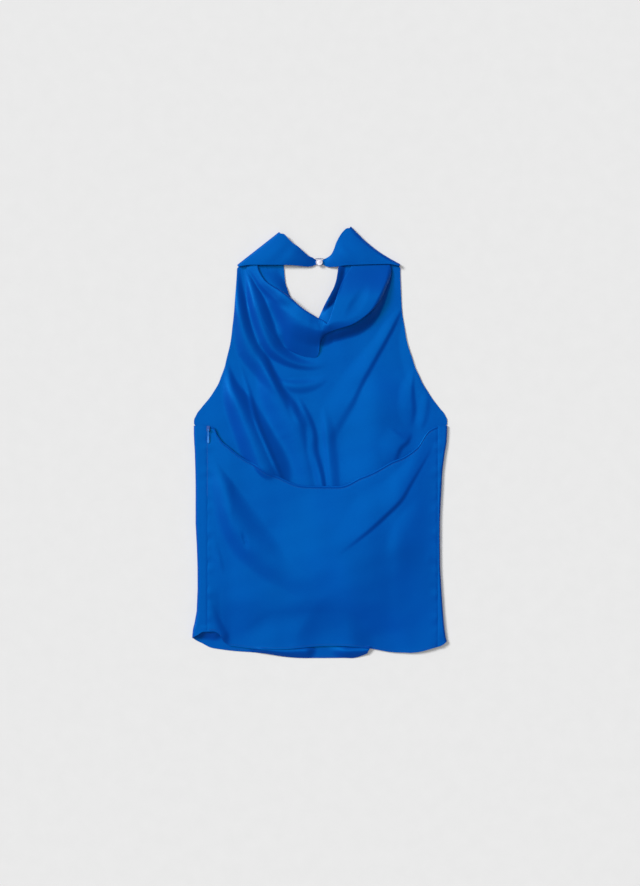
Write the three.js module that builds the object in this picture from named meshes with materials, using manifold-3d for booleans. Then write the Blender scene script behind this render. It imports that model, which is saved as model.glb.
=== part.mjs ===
// Satin halter neck top, laid flat with its back side up.
// Millimetres. X runs to the right seen from above, Y from hem to neck, Z up from the surface.
import * as THREE from 'three';
import { mergeVertices } from 'three/addons/utils/BufferGeometryUtils.js';
import Module from 'manifold-3d';

const wasm = await Module();
wasm.setup();

// Cloth and layers
const CLOTH = 1.2;
const GAP = 0.4;
const FLOOR_LAYER = CLOTH / 2;
const BACK_LAYER = 2.8;
const LAYER_STEP = 2.1;

// Garment sizes
const UNDERARM_Y = 32.9;
const STRIP_TOP_Y = 26.8;
const NECK_BOTTOM_Y = 196;
const NECK_BOTTOM_X = -2.8;
const LEFT_SEAM_X = -179.5;
const RIGHT_SEAM_X = 188.4;
const STRAP_FOLD_RADIUS = 3.4;
const HEM_STRIP_Y = -313;

// Small parts
const BUTTON = {
  x: -0.7, y: 287.3, radius: 5.5, thickness: 2.6, rim: 0.7, rimStep: 0.5, dish: 0.2,
  shankRadius: 1.2, shankHeight: 1.2,
};
const LOOP = { threadRadius: 0.45, aboveStrap: 1.2 };
const SLIDER = { x: -178, y: 22, width: 4.6, length: 8, thickness: 1.6, earThickness: 0.8, earLength: 2.8 };
const PULL = {
  width: 3.4, dropLength: 13.5, linkLength: 7, linkWidth: 1.3, thickness: 1, barrel: 1.3, tilt: 7,
  neck: 3, shoulder: 5,
};
const EAR_SINK = 0.1;
const PIN_RADIUS = 0.4;
const BORE_RADIUS = 0.75;
const RUNNING_GAP = 0.35;

// Outlines of the laid garment
const LEFT_SIDE = [
  { y: -313, x: -204.2 }, { y: -300, x: -203.1 }, { y: -276, x: -197.7 }, { y: -236, x: -195.6 },
  { y: -164, x: -196.9 }, { y: -140, x: -198.8 }, { y: -92, x: -198.8 }, { y: -20, x: -200 },
  { y: 20, x: -201.7 }, { y: 33, x: -201.7 }, { y: 42, x: -198.8 }, { y: 55, x: -190 },
  { y: 80, x: -170.8 }, { y: 106, x: -158 }, { y: 132, x: -150 }, { y: 183, x: -140.4 },
  { y: 234, x: -135.6 }, { y: 284, x: -132.4 },
];
const RIGHT_SIDE = [
  { y: -317, x: 204.7 }, { y: -300, x: 200.4 }, { y: -276, x: 197.7 }, { y: -236, x: 194.8 },
  { y: -164, x: 192.4 }, { y: -68, x: 195.3 }, { y: -20, x: 199.8 }, { y: 4, x: 203.3 },
  { y: 33, x: 204.2 }, { y: 42, x: 201.5 }, { y: 55, x: 191.9 }, { y: 80, x: 174 },
  { y: 106, x: 159.6 }, { y: 132, x: 149.2 }, { y: 183, x: 136.4 }, { y: 234, x: 130.8 }, { y: 284, x: 129 },
];
const FRONT_HEM = [
  { x: -204, y: -313 }, { x: -189, y: -321 }, { x: -166, y: -330 }, { x: -95, y: -336.7 },
  { x: -18, y: -345 }, { x: 39, y: -344.7 }, { x: 76, y: -337.5 }, { x: 80, y: -329 },
  { x: 150, y: -328 }, { x: 205, y: -317 },
];
const BACK_HEM = [
  { x: -204, y: -312 }, { x: -195, y: -307.6 }, { x: -183, y: -302 }, { x: -172, y: -302 },
  { x: -162, y: -305 }, { x: -152, y: -320 }, { x: -138, y: -326 }, { x: -64, y: -330.5 },
  { x: 14, y: -325.5 }, { x: 76, y: -329 }, { x: 128, y: -336 }, { x: 188, y: -327 }, { x: 205, y: -317 },
];
const BACK_TOP = [
  { x: -180, y: 26 }, { x: -170, y: 24.4 }, { x: -164, y: 12 }, { x: -147, y: -6 }, { x: -104, y: -35 },
  { x: -68, y: -54 }, { x: -11, y: -69.4 }, { x: 21, y: -70 }, { x: 66, y: -55.6 }, { x: 114, y: -31.6 },
  { x: 156, y: -7.6 }, { x: 169, y: 12 }, { x: 178, y: 21 }, { x: 189, y: 26 },
];
const LEFT_NECKLINE = [
  { y: 196, x: -2.8 }, { y: 205, x: -24 }, { y: 217, x: -38 }, { y: 229, x: -45.2 },
  { y: 244, x: -51.6 }, { y: 260, x: -55.6 }, { y: 282, x: -57.2 },
];
const RIGHT_NECKLINE = [
  { y: 196, x: -2.8 }, { y: 210, x: 3.6 }, { y: 226, x: 11.6 }, { y: 238, x: 18 },
  { y: 250, x: 23.6 }, { y: 266, x: 27.6 }, { y: 281, x: 29.7 },
];

// Radius of the turn from the front to the back at each side
const LEFT_TURN = [
  { y: -313, radius: 4.6 }, { y: -240, radius: 4 }, { y: -120, radius: 3.4 }, { y: 27, radius: 2.2 },
];
const RIGHT_TURN = [{ y: -317, radius: 2.6 }, { y: -150, radius: 2.1 }, { y: 27, radius: 2.1 }];

// The front's folds die away over this depth under the back panel's top edge and below the straps
const UNDER_BACK = { start: -10, depth: 34 };
const UNDER_STRAPS = { top: 302, depth: 26 };

// Rows of the front: those covered by the back panel, and the steps between those that show
const COVERED_ROWS = [-280, -215, -150];
const FIRST_SEEN_Y = -84;
const ABOVE_UNDERARM_Y = 41;
const FIRST_BODY_Y = 50;
const LAST_NECK_Y = 272;
const SEEN_STEP = 11;
const BODY_STEP = 9;
const NECK_STEP = 7;

// The thread loop's route round the button, in shares of its reach across and up
const LOOP_ROUTE = [[-1.35, 0.72], [-1, 0.86], [-0.5, 0.98], [0, 1], [0.5, 0.98], [1, 0.86], [1.35, 0.72]];

// Straps: the slanting fold, the front's last rows that fan out from its corner, and the part turned over
const LEFT_STRAP = {
  corner: { x: -132.4, y: 283.6 },
  peak: { x: -65.2, y: 336.4 },
  bow: 0,
  fan: [
    { outerX: -132.4, outerY: 275.5, innerX: -58.4, innerY: 296 },
    { outerX: -132, outerY: 278, innerX: -60.5, innerY: 316 },
  ],
  top: [
    { lowX: -112, lowY: 283.2, highX: -56.4, highY: 332, z: 7.2, puff: 1.2 },
    { lowX: -92, lowY: 283.2, highX: -50, highY: 325, z: 7.2, puff: 1.8 },
    { lowX: -72, lowY: 283.2, highX: -42.8, highY: 318, z: 6.4, puff: 1.8 },
    { lowX: -54, lowY: 283, highX: -34.8, highY: 312.6, z: 5, puff: 1.4 },
    { lowX: -38, lowY: 282.3, highX: -26.8, highY: 305.4, z: 3.8, puff: 1 },
    { lowX: -25, lowY: 281, highX: -18, highY: 298, z: 2.8, puff: 0.6 },
    { lowX: -14, lowY: 281, highX: -11, highY: 295, z: 2.2, puff: 0.3 },
    { lowX: -7.6, lowY: 283.6, highX: -7, highY: 292, z: 2, puff: 0 },
    { lowX: 0.8, lowY: 285.4, highX: 0.8, highY: 289.6, z: 2, puff: 0 },
  ],
};
const RIGHT_STRAP = {
  corner: { x: 129.2, y: 284.7 },
  peak: { x: 50, y: 345.2 },
  bow: 5,
  fan: [
    { outerX: 128.8, outerY: 276, innerX: 33, innerY: 300 },
    { outerX: 128.5, outerY: 279, innerX: 40, innerY: 322 },
  ],
  top: [
    { lowX: 112, lowY: 284.4, highX: 42, highY: 341, z: 7.2, puff: 1.2 },
    { lowX: 92, lowY: 284.2, highX: 35.6, highY: 334.6, z: 7.2, puff: 2 },
    { lowX: 72, lowY: 283.8, highX: 30.8, highY: 327.4, z: 7, puff: 2 },
    { lowX: 54, lowY: 283, highX: 26, highY: 318, z: 6.6, puff: 1.4 },
    { lowX: 38, lowY: 282.2, highX: 22.8, highY: 308.6, z: 5.8, puff: 0.8 },
    { lowX: 24, lowY: 280.2, highX: 18, highY: 299.6, z: 4.6, puff: 0.5 },
    { lowX: 13, lowY: 280.4, highX: 11.6, highY: 295, z: 3, puff: 0.3 },
    { lowX: 6.6, lowY: 283.2, highX: 6, highY: 292.4, z: 2.2, puff: 0 },
    { lowX: 3.6, lowY: 285.4, highX: 3.6, highY: 289.6, z: 2, puff: 0 },
  ],
};

// Draped cowl, a section from its neck edge to its lower edge for each row.
// Heights are above the cloth under it; crestAt is the share of the way to the lower edge.
const COWL_SECTIONS = [
  { innerX: -94, innerY: 300, outerX: -118, outerY: 288, inner: 0.6, crest: 1.2, crestAt: 0.4, outer: 0 },
  { innerX: -98.8, innerY: 281, outerX: -116, outerY: 277, inner: 2, crest: 2.6, crestAt: 0.35, outer: 0 },
  { innerX: -89, innerY: 261, outerX: -108, outerY: 252, inner: 4.5, crest: 7, crestAt: 0.4, outer: 0.8 },
  { innerX: -76, innerY: 250, outerX: -98, outerY: 224, inner: 5.5, crest: 10, crestAt: 0.35, outer: 0.8 },
  { innerX: -61, innerY: 241, outerX: -86, outerY: 196, inner: 6, crest: 12, crestAt: 0.3, outer: 0.8 },
  { innerX: -45, innerY: 229, outerX: -70, outerY: 168, inner: 6, crest: 13, crestAt: 0.3, outer: 0.8 },
  { innerX: -32, innerY: 217, outerX: -50, outerY: 151, inner: 6, crest: 13, crestAt: 0.3, outer: 0.8 },
  { innerX: -18, innerY: 207, outerX: -28, outerY: 140, inner: 5.5, crest: 12, crestAt: 0.35, outer: 0.5 },
  { innerX: -8, innerY: 201, outerX: -10, outerY: 137, inner: 5, crest: 11, crestAt: 0.4, outer: 2.5 },
  { innerX: 0, innerY: 196, outerX: 1, outerY: 147, inner: 4.5, crest: 10, crestAt: 0.5, outer: 6.5 },
  { innerX: 7, innerY: 191.5, outerX: 6, outerY: 166, inner: 4, crest: 9.5, crestAt: 0.6, outer: 7.5 },
  { innerX: 12, innerY: 189.5, outerX: 20, outerY: 177, inner: 3, crest: 9, crestAt: 0.7, outer: 8 },
  { innerX: 16, innerY: 197, outerX: 34, outerY: 181.5, inner: 2, crest: 9.5, crestAt: 0.8, outer: 8.5 },
  { innerX: 20, innerY: 209, outerX: 53, outerY: 187.6, inner: 1.5, crest: 10, crestAt: 0.88, outer: 8.5 },
  { innerX: 25, innerY: 225, outerX: 71, outerY: 199, inner: 1.2, crest: 10, crestAt: 0.9, outer: 8.5 },
  { innerX: 31, innerY: 243, outerX: 85, outerY: 211.6, inner: 1, crest: 9.5, crestAt: 0.92, outer: 8 },
  { innerX: 36.5, innerY: 257, outerX: 96.4, outerY: 226, inner: 0.8, crest: 8.5, crestAt: 0.92, outer: 7 },
  { innerX: 43, innerY: 269, outerX: 105, outerY: 243, inner: 0.6, crest: 6.5, crestAt: 0.92, outer: 5 },
  { innerX: 50, innerY: 280, outerX: 114, outerY: 268, inner: 0.4, crest: 2.8, crestAt: 0.92, outer: 2 },
  { innerX: 56, innerY: 298, outerX: 112, outerY: 286, inner: 0.2, crest: 1, crestAt: 0.9, outer: 0.6 },
];

// Raised folds: the path runs from start over middle to end; left and right are the widths
// on the walker's left and right, rise and fade the shares of the path at its two ends.
const FRONT_FOLDS = [
  { name: 'left armhole', start: [-128.5, 284], middle: [-126, 215], end: [-112, 140],
    left: 15, right: 10, height: 4.5, rise: 0.1, fade: 0.4 },
  { name: 'beside cowl', start: [-118, 276], middle: [-99, 205], end: [-66, 130],
    left: 9, right: 12, height: 5, rise: 0.2, fade: 0.3 },
  { name: 'smile', start: [-74, 152], middle: [-30, 122], end: [18, 126],
    left: 10, right: 12, height: 4.5, rise: 0.3, fade: 0.4 },
  { name: 'lower smile', start: [-58, 110], middle: [-32, 98], end: [-4, 104],
    left: 9, right: 9, height: 3, rise: 0.4, fade: 0.4 },
  { name: 'left of centre', start: [-108, 156], middle: [-78, 64], end: [-38, -50],
    left: 22, right: 17, height: 6.5, rise: 0.3, fade: 0.2 },
  { name: 'left flank', start: [-152, 96], middle: [-134, 24], end: [-84, -52],
    left: 17, right: 18, height: 4.5, rise: 0.3, fade: 0.2 },
  { name: 'centre', start: [-38, 80], middle: [-20, 26], end: [-6, -70],
    left: 10, right: 13, height: 5.5, rise: 0.3, fade: 0.2 },
  { name: 'right of centre', start: [6, 104], middle: [16, 22], end: [18, -70],
    left: 17, right: 10, height: 4.5, rise: 0.3, fade: 0.2 },
  { name: 'long right', start: [124, 214], middle: [64, 112], end: [22, 6],
    left: 14, right: 34, height: 5, rise: 0.25, fade: 0.4 },
  { name: 'right field', start: [112, 150], middle: [102, 60], end: [88, -34],
    left: 42, right: 44, height: 4, rise: 0.4, fade: 0.3 },
  { name: 'right armhole', start: [136, 196], middle: [151, 116], end: [176, 56],
    left: 12, right: 14, height: 3, rise: 0.3, fade: 0.4 },
];
const BACK_FOLDS = [
  { name: 'belly', start: [-156, -14], middle: [-6, -176], end: [184, -2],
    left: 74, right: 34, height: 4.5, rise: 0.25, fade: 0.25 },
  { name: 'left strip', start: [-172, -30], middle: [-158, -130], end: [-118, -216],
    left: 13, right: 13, height: 3, rise: 0.3, fade: 0.4 },
  { name: 'left hem', start: [-170, -190], middle: [-160, -250], end: [-142, -318],
    left: 14, right: 12, height: 3.5, rise: 0.3, fade: 0.3 },
  { name: 'right slant', start: [174, -70], middle: [140, -142], end: [104, -196],
    left: 17, right: 17, height: 3.2, rise: 0.3, fade: 0.4 },
  { name: 'hem wave', start: [-40, -250], middle: [-36, -290], end: [-34, -326],
    left: 34, right: 34, height: 1.6, rise: 0.5, fade: 0.1 },
  { name: 'right hem wave', start: [60, -250], middle: [64, -290], end: [66, -330],
    left: 28, right: 28, height: 1.6, rise: 0.5, fade: 0.1 },
];

const HALF_COLUMNS = 14;
const BEND_STEPS = 4;

const clamp01 = (value) => Math.min(1, Math.max(0, value));
const smooth = (value) => clamp01(value) ** 2 * (3 - 2 * clamp01(value));
const mix = (a, b, share) => a + (b - a) * share;

// A smooth curve through a table's rows that never overshoots them
function curve(rows, key, value) {
  const at = rows.map((row) => row[key]);
  const values = rows.map((row) => row[value]);
  const slopes = values.slice(1).map((next, i) => (next - values[i]) / (at[i + 1] - at[i]));
  const tangents = values.map((_, i) => {
    if (i === 0) return slopes[0];
    if (i === slopes.length) return slopes[i - 1];
    if (slopes[i - 1] * slopes[i] <= 0) return 0;
    return 2 / (1 / slopes[i - 1] + 1 / slopes[i]);
  });
  return (position) => {
    const last = slopes.length - 1;
    let i = at.findIndex((_, k) => k <= last && position < at[k + 1]);
    if (i < 0) i = last;
    const span = at[i + 1] - at[i];
    const t = clamp01((position - at[i]) / span);
    const start = values[i] + tangents[i] * span * t;
    const end = values[i + 1] - tangents[i + 1] * span * (1 - t);
    return mix(start, end, smooth(t));
  };
}

const leftSide = curve(LEFT_SIDE, 'y', 'x');
const rightSide = curve(RIGHT_SIDE, 'y', 'x');
const frontHem = curve(FRONT_HEM, 'x', 'y');
const backHem = curve(BACK_HEM, 'x', 'y');
const backTop = curve(BACK_TOP, 'x', 'y');
const leftNeckline = curve(LEFT_NECKLINE, 'y', 'x');
const rightNeckline = curve(RIGHT_NECKLINE, 'y', 'x');
const leftTurn = curve(LEFT_TURN, 'y', 'radius');
const rightTurn = curve(RIGHT_TURN, 'y', 'radius');

// The height that a table of folds adds at a place
function foldsOver(folds) {
  const steps = 14;
  const paths = folds.map((fold) => {
    const bend = fold.middle.map((value, k) => 2 * value - (fold.start[k] + fold.end[k]) / 2);
    const points = [fold.start, bend, fold.end].map(([x, y]) => new THREE.Vector2(x, y));
    return { fold, points: new THREE.QuadraticBezierCurve(...points).getPoints(steps) };
  });
  return (x, y) => paths.reduce((sum, { fold, points }) => sum + foldHeight(fold, points, x, y), 0);
}

function foldHeight(fold, points, x, y) {
  let best = { distance: Infinity };
  for (let i = 0; i + 1 < points.length; i += 1) {
    const along = points[i + 1].clone().sub(points[i]);
    const offset = new THREE.Vector2(x, y).sub(points[i]);
    const share = clamp01(offset.dot(along) / along.lengthSq());
    const distance = offset.distanceTo(along.clone().multiplyScalar(share));
    if (distance < best.distance) {
      best = { distance, side: along.cross(offset), along: (i + share) / (points.length - 1) };
    }
  }
  const width = best.side > 0 ? fold.left : fold.right;
  const across = Math.max(0, 1 - (best.distance / width) ** 2) ** 2;
  return fold.height * across * smooth(best.along / fold.rise) * smooth((1 - best.along) / fold.fade);
}

const frontFolds = foldsOver(FRONT_FOLDS);
const backFolds = foldsOver(BACK_FOLDS);

// The front lies flat under the back panel and under the turned straps
function frontHeight(x, y) {
  const abovePanel = smooth((y - backTop(x) - UNDER_BACK.start) / UNDER_BACK.depth);
  const belowStraps = smooth((UNDER_STRAPS.top - y) / UNDER_STRAPS.depth);
  return FLOOR_LAYER + frontFolds(x, y) * abovePanel * belowStraps;
}

// One closed wall from grids of points on its middle surface; grids that share points are joined
function wall(grids, thickness = CLOTH) {
  const points = [];
  const quads = [];
  const known = new Map();
  const indexOf = (point) => {
    const key = point.toArray().map((value) => Math.round(value * 1e4)).join();
    if (!known.has(key)) {
      known.set(key, points.length);
      points.push(point);
    }
    return known.get(key);
  };
  for (const grid of grids) {
    const indices = grid.map((row) => row.map(indexOf));
    for (let i = 0; i + 1 < grid.length; i += 1) {
      for (let j = 0; j + 1 < grid[i].length; j += 1) {
        quads.push([indices[i][j], indices[i][j + 1], indices[i + 1][j + 1], indices[i + 1][j]]);
      }
    }
  }
  const normals = points.map(() => new THREE.Vector3());
  const used = new Set();
  for (const [a, b, c, d] of quads) {
    const diagonal = points[c].clone().sub(points[a]);
    const normal = diagonal.cross(points[d].clone().sub(points[b]));
    [a, b, c, d].forEach((index) => normals[index].add(normal));
    [[a, b], [b, c], [c, d], [d, a]].forEach((edge) => used.add(edge.join()));
  }
  const offset = (side) => points.map((point, i) =>
    point.clone().addScaledVector(normals[i].clone().normalize(), side * thickness / 2));
  const vertices = [...offset(1), ...offset(-1)];
  const under = points.length;
  const triangles = [];
  for (const [a, b, c, d] of quads) {
    const short = points[a].distanceTo(points[c]) <= points[b].distanceTo(points[d]);
    const halves = short ? [[a, b, c], [a, c, d]] : [[a, b, d], [b, c, d]];
    for (const [p, q, r] of halves) {
      triangles.push(p, q, r, under + p, under + r, under + q);
    }
    for (const [from, to] of [[a, b], [b, c], [c, d], [d, a]]) {
      if (!used.has([to, from].join())) {
        triangles.push(to, from, under + from, to, under + from, under + to);
      }
    }
  }
  const geometry = new THREE.BufferGeometry();
  const positions = vertices.flatMap((v) => v.toArray());
  geometry.setAttribute('position', new THREE.Float32BufferAttribute(positions, 3));
  geometry.setIndex(triangles);
  return geometry;
}

// Points of one half of a front row, from one edge to the other
function frontRow(from, to) {
  return Array.from({ length: HALF_COLUMNS + 1 }, (_, j) => {
    const x = mix(from.x, to.x, j / HALF_COLUMNS);
    const y = mix(from.y, to.y, j / HALF_COLUMNS);
    return new THREE.Vector3(x, y, frontHeight(x, y));
  });
}

// A front row below the underarms, from the left seam round under the back to the right seam
function wrappedRow(y, isHem) {
  const leftRadius = leftTurn(y);
  const rightRadius = rightTurn(y);
  const leftFlat = leftSide(y) + FLOOR_LAYER + leftRadius;
  const rightFlat = rightSide(y) - FLOOR_LAYER - rightRadius;
  const flatY = (x) => (isHem ? frontHem(x) : y);
  const topY = (x) => (isHem ? backHem(x) : y);
  const centre = new THREE.Vector2(NECK_BOTTOM_X, y);
  const turn = (flatX, radius, side) => Array.from({ length: BEND_STEPS }, (_, k) => {
    const angle = Math.PI * (k + 1) / BEND_STEPS;
    const x = flatX + side * radius * Math.sin(angle);
    const share = (k + 1) / BEND_STEPS;
    const z = FLOOR_LAYER + radius * (1 - Math.cos(angle));
    return new THREE.Vector3(x, mix(flatY(x), topY(x), smooth(share)), z);
  });
  const strip = (x, radius) => new THREE.Vector3(x, topY(x), FLOOR_LAYER + 2 * radius);
  const left = [...turn(leftFlat, leftRadius, -1), strip(mix(leftFlat, LEFT_SEAM_X, 0.5), leftRadius),
    strip(LEFT_SEAM_X - GAP / 2, leftRadius)];
  const right = [...turn(rightFlat, rightRadius, 1),
    strip(RIGHT_SEAM_X + GAP / 2, rightRadius)];
  const flat = [...frontRow({ x: leftFlat, y }, centre), ...frontRow(centre, { x: rightFlat, y }).slice(1)];
  flat.forEach((point) => point.setY(flatY(point.x)));
  return [...left.reverse(), ...flat, ...right];
}

const fanRows = (strap) => strap.fan.map((row) =>
  frontRow({ x: row.outerX, y: row.outerY }, { x: row.innerX, y: row.innerY }));

// Neck strap: a short lower part, the round of its fold and the part turned over on top
function neckStrap(strap, side) {
  const { corner, peak, bow, top } = strap;
  const along = new THREE.Vector2(peak.x - corner.x, peak.y - corner.y).normalize();
  const out = new THREE.Vector2(side * along.y, -side * along.x);
  const inset = STRAP_FOLD_RADIUS + CLOTH / 2;
  const foldRow = (angle) => Array.from({ length: HALF_COLUMNS + 1 }, (_, j) => {
    const share = j / HALF_COLUMNS;
    const reach = STRAP_FOLD_RADIUS * Math.sin(angle) - inset - bow * Math.sin(Math.PI * share);
    const x = mix(corner.x, peak.x, share) + out.x * reach;
    const y = mix(corner.y, peak.y, share) + out.y * reach;
    return new THREE.Vector3(x, y, FLOOR_LAYER + STRAP_FOLD_RADIUS * (1 - Math.cos(angle)));
  });
  const lastFrontRow = fanRows(strap).at(-1);
  const seam = new THREE.Vector3(out.x, out.y, 0).multiplyScalar(GAP);
  const rows = [lastFrontRow.map((point) => point.clone().add(seam))];
  for (let k = 0; k <= BEND_STEPS; k += 1) rows.push(foldRow(Math.PI * k / BEND_STEPS));
  for (const row of top) {
    rows.push(Array.from({ length: HALF_COLUMNS + 1 }, (_, j) => {
      const share = j / HALF_COLUMNS;
      const z = row.z + row.puff * Math.sin(Math.PI * share);
      return new THREE.Vector3(mix(row.lowX, row.highX, share), mix(row.lowY, row.highY, share), z);
    }));
  }
  return wall([side < 0 ? rows : rows.map((row) => row.reverse())]);
}

const stations = (from, to, step) => {
  const count = Math.round((to - from) / step);
  return Array.from({ length: count + 1 }, (_, i) => mix(from, to, i / count));
};

// Front panel with its sides turned round to the back
function frontPanel() {
  const lowerY = [...COVERED_ROWS, ...stations(FIRST_SEEN_Y, STRIP_TOP_Y, SEEN_STEP)];
  const lower = [wrappedRow(HEM_STRIP_Y, true), ...lowerY.map((y) => wrappedRow(y, false))];
  const wraps = lower[0].length - 2 * HALF_COLUMNS - 1;
  const leftWraps = wraps - BEND_STEPS - 1;
  const lastRow = lower.at(-1).slice(leftWraps, leftWraps + 2 * HALF_COLUMNS + 1);
  const bodyRow = (y) => {
    const centre = { x: NECK_BOTTOM_X, y };
    const left = frontRow({ x: leftSide(y) + FLOOR_LAYER, y }, centre);
    return [...left, ...frontRow(centre, { x: rightSide(y) - FLOOR_LAYER, y }).slice(1)];
  };
  const bodyY = [UNDERARM_Y, ABOVE_UNDERARM_Y, ...stations(FIRST_BODY_Y, NECK_BOTTOM_Y, BODY_STEP)];
  const body = [lastRow, ...bodyY.map(bodyRow)];
  const split = body.at(-1);
  const neckRows = stations(NECK_BOTTOM_Y + NECK_STEP, LAST_NECK_Y, NECK_STEP);
  const leftRows = neckRows.map((y) =>
    frontRow({ x: leftSide(y) + FLOOR_LAYER, y }, { x: leftNeckline(y), y }));
  const rightRows = neckRows.map((y) =>
    frontRow({ x: rightNeckline(y), y }, { x: rightSide(y) - FLOOR_LAYER, y }));
  const left = [split.slice(0, HALF_COLUMNS + 1), ...leftRows, ...fanRows(LEFT_STRAP)];
  const rightFan = fanRows(RIGHT_STRAP).map((row) => row.reverse());
  const right = [split.slice(HALF_COLUMNS), ...rightRows, ...rightFan];
  return wall([lower, body, left, right]);
}

// Back panel between the seams, low at the top edge and curved at the hem
function backPanel() {
  const columns = 26;
  const rows = 20;
  const edgeLift = 2;
  const edgeDepth = 46;
  const seamReach = 26;
  const point = (i, j) => {
    const x = mix(LEFT_SEAM_X + GAP / 2, RIGHT_SEAM_X - GAP / 2, j / columns);
    const y = mix(backHem(x), backTop(x), i / rows);
    const free = BACK_LAYER + edgeLift * smooth(1 - (backTop(x) - y) / edgeDepth) + backFolds(x, y);
    const toLeft = mix(free, FLOOR_LAYER + 2 * leftTurn(y), smooth(1 - (x - LEFT_SEAM_X) / seamReach));
    const z = mix(toLeft, FLOOR_LAYER + 2 * rightTurn(y), smooth(1 - (RIGHT_SEAM_X - x) / seamReach));
    return new THREE.Vector3(x, y, z);
  };
  return wall([Array.from({ length: rows + 1 }, (_, i) =>
    Array.from({ length: columns + 1 }, (_, j) => point(i, j)))]);
}

// Cowl: a raised roll on the left that turns into a lip standing off the front on the right
function cowl() {
  const columns = 12;
  const grid = COWL_SECTIONS.map((row) => Array.from({ length: columns + 1 }, (_, j) => {
    const share = j / columns;
    const x = mix(row.innerX, row.outerX, share);
    const y = mix(row.innerY, row.outerY, share);
    const height = share < row.crestAt
      ? mix(row.inner, row.crest, Math.sin(Math.PI / 2 * share / row.crestAt))
      : mix(row.crest, row.outer, smooth((share - row.crestAt) / (1 - row.crestAt)));
    return new THREE.Vector3(x, y, frontHeight(x, y) + LAYER_STEP + height);
  }));
  return wall([grid]);
}

// Solids for the small hard parts
function solid(geometry) {
  geometry.deleteAttribute('normal');
  geometry.deleteAttribute('uv');
  const merged = mergeVertices(geometry, 1e-4);
  const mesh = { numProp: 3, vertProperties: merged.attributes.position.array, triVerts: merged.index.array };
  return new wasm.Manifold(new wasm.Mesh(mesh));
}

function toGeometry(manifold) {
  const { vertProperties, triVerts } = manifold.getMesh();
  const geometry = new THREE.BufferGeometry();
  geometry.setAttribute('position', new THREE.Float32BufferAttribute(vertProperties, 3));
  geometry.setIndex(Array.from(triVerts));
  return geometry;
}

const block = (width, length, height, x, y, z) =>
  solid(new THREE.BoxGeometry(width, length, height).translate(x, y, z));
const rodAlongX = (radius, length, sides) =>
  solid(new THREE.CylinderGeometry(radius, radius, length, sides).rotateZ(Math.PI / 2));

const seamTop = FLOOR_LAYER + 2 * leftTurn(STRIP_TOP_Y) + CLOTH / 2;
const sliderTop = seamTop + 2 * GAP + SLIDER.thickness;
const HINGE = {
  x: SLIDER.x,
  y: SLIDER.y - SLIDER.length / 2 + PULL.barrel,
  z: sliderTop + RUNNING_GAP + PULL.barrel,
};

// Slider of the side zip: a body on the seam, two ears and the pin that carries the pull
function zipSlider() {
  const body = block(SLIDER.width, SLIDER.length, SLIDER.thickness,
    SLIDER.x, SLIDER.y, sliderTop - SLIDER.thickness / 2);
  const earHeight = 2 * PULL.barrel + RUNNING_GAP;
  const earX = (SLIDER.width - SLIDER.earThickness) / 2;
  const ears = [-1, 1].map((side) => block(SLIDER.earThickness, SLIDER.earLength, earHeight + 2 * EAR_SINK,
    SLIDER.x + side * earX, HINGE.y, sliderTop + earHeight / 2 - EAR_SINK));
  const pin = rodAlongX(PIN_RADIUS, SLIDER.width - SLIDER.earThickness, 12)
    .translate([HINGE.x, HINGE.y, HINGE.z]);
  return toGeometry(body.add(ears[0]).add(ears[1]).add(pin));
}

// Pull tab: an eye round the pin, a thin link and a drop-shaped end
function zipPull() {
  const eyeLength = SLIDER.width - 2 * SLIDER.earThickness - 2 * RUNNING_GAP;
  const half = PULL.width / 2;
  const link = PULL.linkWidth / 2;
  const neckY = -PULL.linkLength - PULL.neck;
  const shoulderY = -PULL.linkLength - PULL.shoulder;
  const roundY = -PULL.linkLength - PULL.dropLength + half;
  const drop = new THREE.Shape();
  drop.moveTo(-link, 0);
  drop.lineTo(-link, -PULL.linkLength);
  drop.bezierCurveTo(-link, neckY, -half, shoulderY, -half, roundY);
  drop.absarc(0, roundY, half, Math.PI, 2 * Math.PI, false);
  drop.bezierCurveTo(half, shoulderY, link, neckY, link, -PULL.linkLength);
  drop.lineTo(link, 0);
  const plate = new THREE.ExtrudeGeometry(drop,
    { depth: PULL.thickness, bevelEnabled: false, curveSegments: 6 });
  plate.translate(0, 0, -PULL.thickness / 2);
  plate.rotateX(THREE.MathUtils.degToRad(PULL.tilt));
  const eye = rodAlongX(PULL.barrel, eyeLength, 20);
  const bore = rodAlongX(BORE_RADIUS, eyeLength + 2, 16);
  return toGeometry(solid(plate).add(eye).subtract(bore).translate([HINGE.x, HINGE.y, HINGE.z]));
}

// Button with a low dome, a rolled rim and a shank that stands on the left strap's end
function neckButton() {
  const { radius, thickness, rim, rimStep, dish, shankRadius, shankHeight } = BUTTON;
  const profile = [
    [0, 0], [shankRadius, 0], [shankRadius, shankHeight], [radius - rim, shankHeight],
    [radius, shankHeight + rim], [radius, shankHeight + thickness - rim],
    [radius - rim, shankHeight + thickness], [radius - 2 * rim, shankHeight + thickness - rimStep],
    [0, shankHeight + thickness - dish],
  ];
  const geometry = new THREE.LatheGeometry(profile.map(([r, z]) => new THREE.Vector2(r, z)), 24);
  geometry.rotateX(Math.PI / 2);
  return toGeometry(solid(geometry));
}

// Thread loop that passes the button on its neck side and is sewn to both strap ends
function buttonLoop() {
  const reach = BUTTON.radius + GAP + LOOP.threadRadius;
  const path = new THREE.CatmullRomCurve3(LOOP_ROUTE.map(([across, up]) =>
    new THREE.Vector3(BUTTON.x + across * reach, BUTTON.y + up * reach, 0)));
  const section = new THREE.Shape().absarc(0, 0, LOOP.threadRadius, 0, 2 * Math.PI);
  const cord = new THREE.ExtrudeGeometry(section, { steps: 12, extrudePath: path, curveSegments: 4 });
  return toGeometry(solid(cord));
}

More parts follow.
